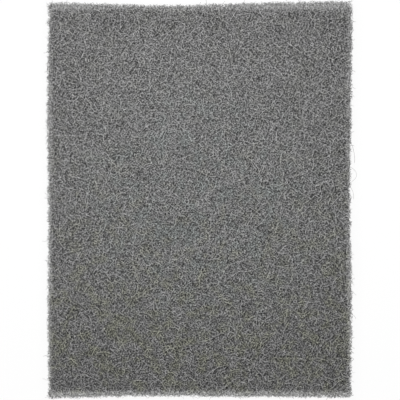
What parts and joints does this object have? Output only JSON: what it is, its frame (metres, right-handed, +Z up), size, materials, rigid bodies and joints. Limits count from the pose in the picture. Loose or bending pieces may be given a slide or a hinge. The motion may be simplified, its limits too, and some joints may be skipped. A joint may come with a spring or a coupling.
{
  "type": "abrasive hand pad",
  "caption": "Flat rectangular hand pad of open, springy grey nonwoven abrasive web, with fuzzy cut edges.",
  "frame": {"origin": "middle of the underside, on the plane that the pad rests on", "axes": "+Z up out of the upper face, through the thickness; +Y along the length; +X along the width, to the right in the picture"},
  "size_m": [0.121, 0.1546, 0.008],
  "materials": {
    "web": "matte grey fibre web with abrasive grain"
  },
  "bodies": {
    "root": {"abrasive_pad": "web"}
  },
  "joints": []
}
